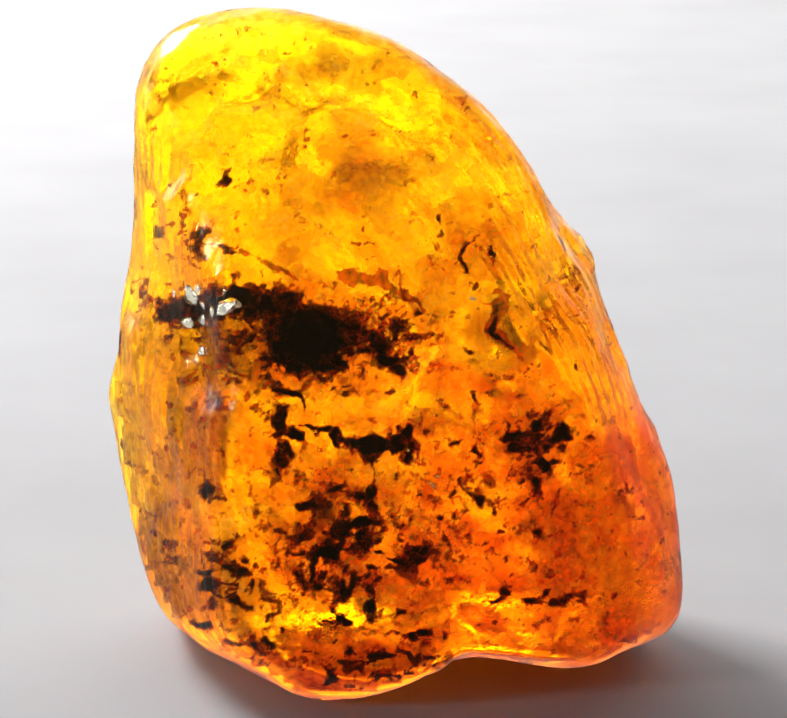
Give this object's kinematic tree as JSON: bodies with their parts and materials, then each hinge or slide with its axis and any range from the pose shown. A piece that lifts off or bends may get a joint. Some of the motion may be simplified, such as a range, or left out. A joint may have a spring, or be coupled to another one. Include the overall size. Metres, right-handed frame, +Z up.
{
  "type": "raw amber piece",
  "caption": "Rounded lump of raw see-through amber with dark plant debris sealed inside, standing on a small worn flat foot.",
  "frame": {"origin": "on the floor, under the middle of the box around the stone", "axes": "+Z up through the tall end, the broad face with the dark inclusions looks to -Y, +X to its right"},
  "size_m": [0.0432, 0.0348, 0.0481],
  "materials": {
    "amber": "polished",
    "dark_debris": "matte",
    "red_brown_stain": "satin",
    "resin_cloud": "satin"
  },
  "bodies": {
    "root": {"amber_stone": "amber"}
  },
  "joints": []
}
